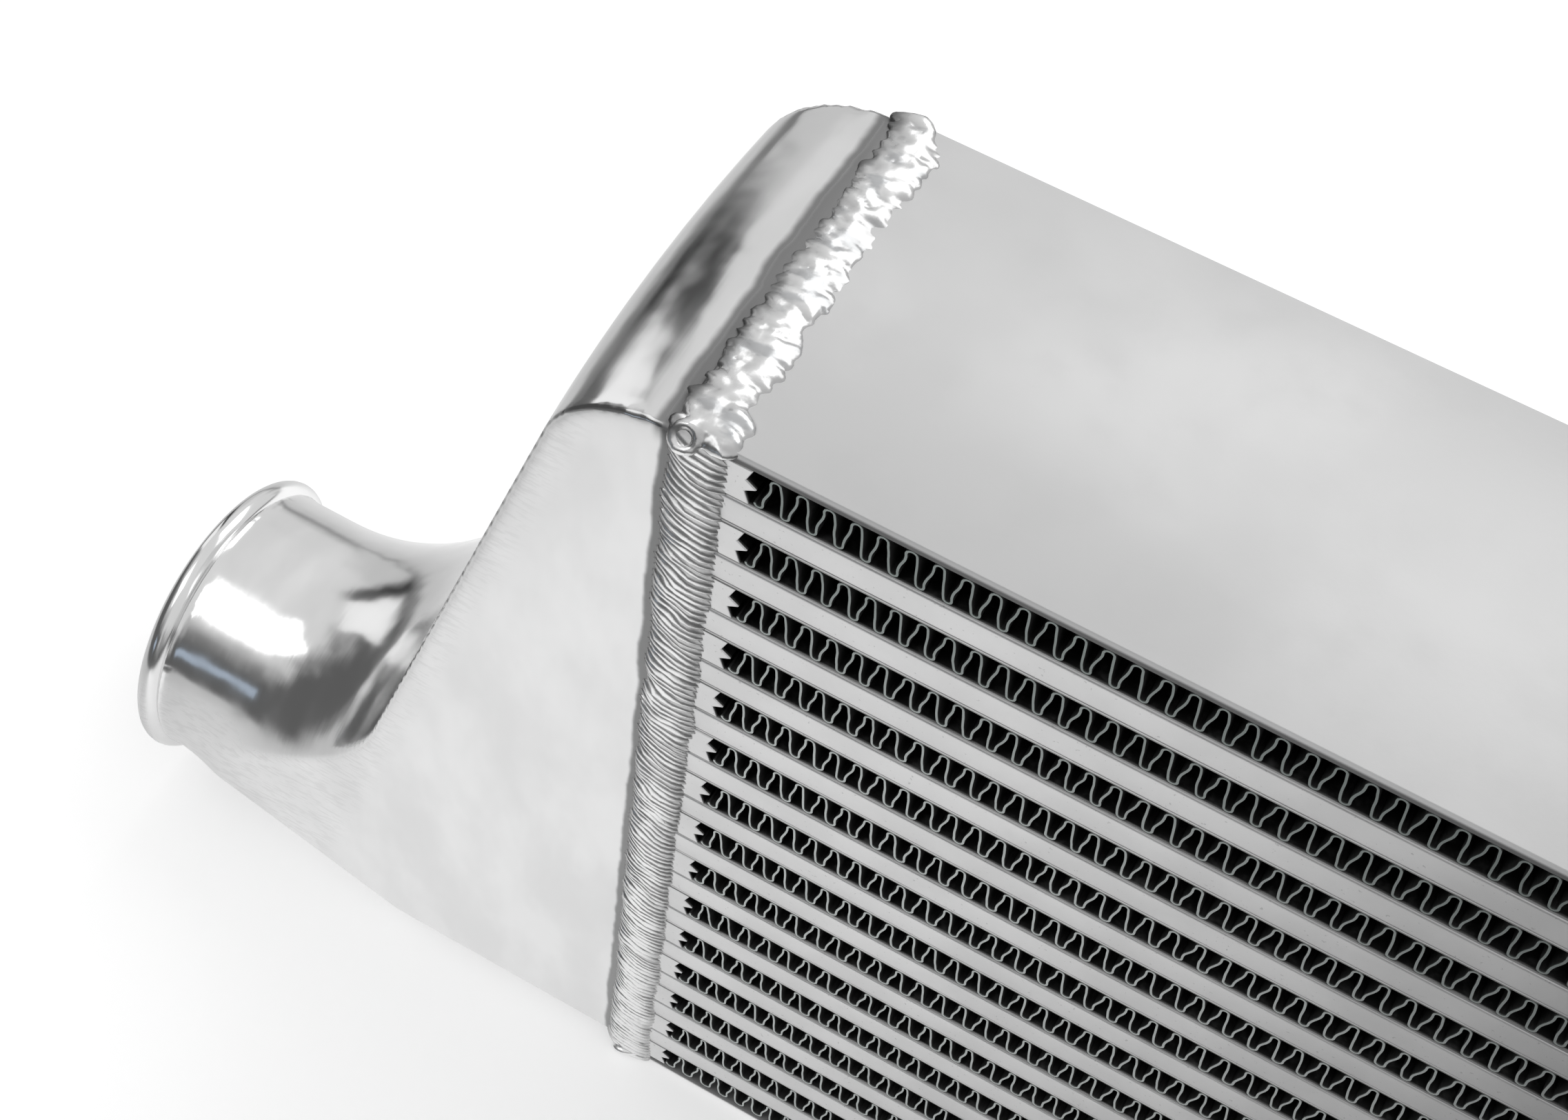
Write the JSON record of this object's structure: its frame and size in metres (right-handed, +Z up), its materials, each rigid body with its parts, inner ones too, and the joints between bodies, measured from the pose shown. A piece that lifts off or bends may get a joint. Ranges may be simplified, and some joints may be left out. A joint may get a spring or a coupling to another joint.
{
  "type": "intercooler",
  "caption": "Bar-and-plate aluminium air-to-air intercooler with folded cooling fins, welded polished cast end tanks and beaded hose stubs low at each end.",
  "frame": {"origin": "on the ground under the middle of the core", "axes": "+X along the core to the right-hand tank, +Y from the front face to the rear, +Z up"},
  "size_m": [0.662, 0.0782, 0.243],
  "materials": {
    "polished_casting": "hand-polished casting, mirror bright on the stub and bullnose, satin on the flat front",
    "weld": "rippled TIG bead, bright with darker valleys",
    "plate": "matte mill finish with faint mottling",
    "bar": "satin brazed bar",
    "fin": "thin dull fin stock"
  },
  "bodies": {
    "root": {"left_end_tank": "polished_casting", "left_weld_bead": "weld", "left_end_bars": "bar", "right_end_tank": "polished_casting", "right_weld_bead": "weld", "right_end_bars": "bar", "top_side_plate": "plate", "bottom_side_plate": "plate", "air_fin_01": "fin", "air_fin_02": "fin", "air_fin_03": "fin", "air_fin_04": "fin", "air_fin_05": "fin", "air_fin_06": "fin", "air_fin_07": "fin", "air_fin_08": "fin", "air_fin_09": "fin", "air_fin_10": "fin", "air_fin_11": "fin", "air_fin_12": "fin", "air_fin_13": "fin", "air_fin_14": "fin", "air_fin_15": "fin", "charge_passage_01": "bar", "turbulator_01": "fin", "charge_passage_02": "bar", "turbulator_02": "fin", "charge_passage_03": "bar", "turbulator_03": "fin", "charge_passage_04": "bar", "turbulator_04": "fin", "charge_passage_05": "bar", "turbulator_05": "fin", "charge_passage_06": "bar", "turbulator_06": "fin", "charge_passage_07": "bar", "turbulator_07": "fin", "charge_passage_08": "bar", "turbulator_08": "fin", "charge_passage_09": "bar", "turbulator_09": "fin", "charge_passage_10": "bar", "turbulator_10": "fin", "charge_passage_11": "bar", "turbulator_11": "fin", "charge_passage_12": "bar", "turbulator_12": "fin", "charge_passage_13": "bar", "turbulator_13": "fin", "charge_passage_14": "bar", "turbulator_14": "fin"}
  },
  "joints": []
}
